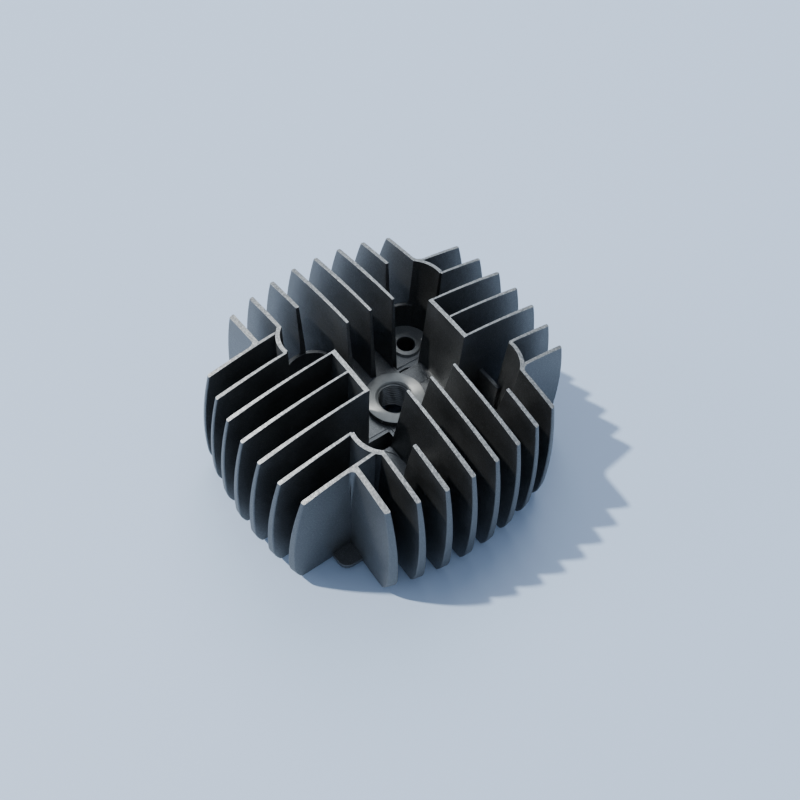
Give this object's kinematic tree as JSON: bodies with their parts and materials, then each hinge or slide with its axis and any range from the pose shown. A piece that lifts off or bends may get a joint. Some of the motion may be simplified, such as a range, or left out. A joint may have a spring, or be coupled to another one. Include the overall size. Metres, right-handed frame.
{
  "type": "cylinder head",
  "caption": "Air-cooled two-stroke cylinder head: one light-alloy casting with tall radiating cooling fins, a central spark plug hole and four deep stud wells.",
  "frame": {"origin": "on the spark plug's axis at the gasket face", "axes": "+Z out of the cylinder, along the spark plug's axis; +X to the right bank of fins; +Y to the back bank, so the longer front bank points along -Y"},
  "size_m": [0.1224, 0.1322, 0.0604],
  "materials": {
    "fins": "as-cast, satin",
    "bosses": "cast with turned seats",
    "gasket_face": "machined",
    "casting": "as-cast, satin"
  },
  "bodies": {
    "root": {"base_plate": "casting", "combustion_dome": "casting", "cross_wall_back": "casting", "cross_wall_front": "casting", "end_ledge_back_left": "casting", "end_ledge_back_right": "casting", "end_ledge_front_left": "casting", "end_ledge_front_right": "casting", "fin_back_1": "fins", "fin_back_2": "fins", "fin_back_3": "fins", "fin_back_4": "fins", "fin_back_5": "fins", "fin_back_6": "fins", "fin_back_7": "fins", "fin_front_1": "fins", "fin_front_2": "fins", "fin_front_3": "fins", "fin_front_4": "fins", "fin_front_5": "fins", "fin_front_6": "fins", "fin_front_7": "fins", "fin_left_1": "fins", "fin_left_2": "fins", "fin_left_3": "fins", "fin_left_4": "fins", "fin_left_5": "fins", "fin_left_6": "fins", "fin_left_7": "fins", "fin_left_8": "fins", "fin_right_1": "fins", "fin_right_2": "fins", "fin_right_3": "fins", "fin_right_4": "fins", "fin_right_5": "fins", "fin_right_6": "fins", "fin_right_7": "fins", "fin_right_8": "fins", "gasket_ring": "gasket_face", "plug_boss": "bosses", "side_ledge_back_left": "casting", "side_ledge_back_right": "casting", "side_ledge_front_left": "casting", "side_ledge_front_right": "casting", "stud_boss_back_left": "bosses", "stud_boss_back_right": "bosses", "stud_boss_front_left": "bosses", "stud_boss_front_right": "bosses", "well_wall_back_left": "casting", "well_wall_back_right": "casting", "well_wall_front_left": "casting", "well_wall_front_right": "casting"}
  },
  "joints": []
}
